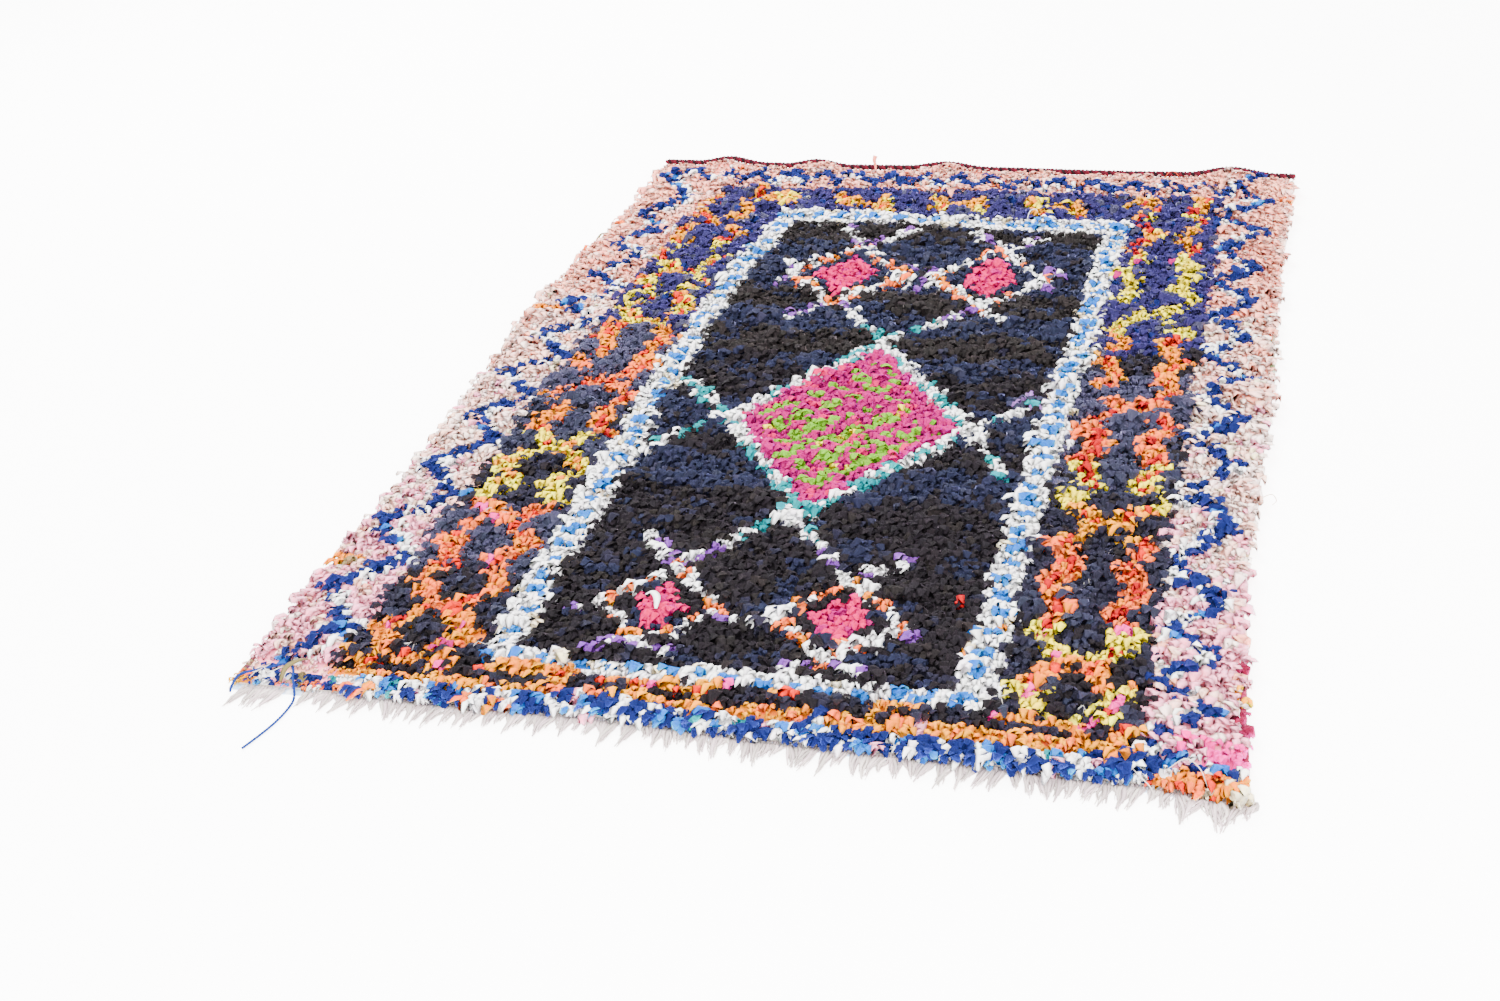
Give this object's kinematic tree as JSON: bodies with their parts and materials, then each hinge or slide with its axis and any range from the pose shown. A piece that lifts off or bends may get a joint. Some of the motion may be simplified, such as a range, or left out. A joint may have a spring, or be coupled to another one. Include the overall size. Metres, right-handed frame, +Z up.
{
  "type": "boucherouite rug",
  "caption": "Rectangular hand-knotted rag rug lying flat, with a shaggy pile, wrapped side edges, a plaited far end, a cut warp fringe at the near end and a loose end of yarn.",
  "frame": {"origin": "floor level, at the middle of the rug's box measured without the loose yarn", "axes": "+Z up, +Y along the rug towards its plaited end, +X to the right seen from the fringed end"},
  "size_m": [1.5606, 2.3247, 0.0443],
  "materials": {
    "pile": "matte cotton and synthetic rag strips in many colours",
    "warp": "matte off-white cotton yarn, frayed",
    "plait": "matte wool yarn in burgundy and dark brown",
    "selvedge": "matte yarn wrapping in burgundy, mustard, olive and grey",
    "yarn": "matte blue plied wool yarn"
  },
  "bodies": {
    "root": {"pile": "pile", "warp_fringe": "warp", "end_plait": "plait", "selvedge_left": "selvedge", "selvedge_right": "selvedge", "blue_yarn": "yarn"}
  },
  "joints": []
}
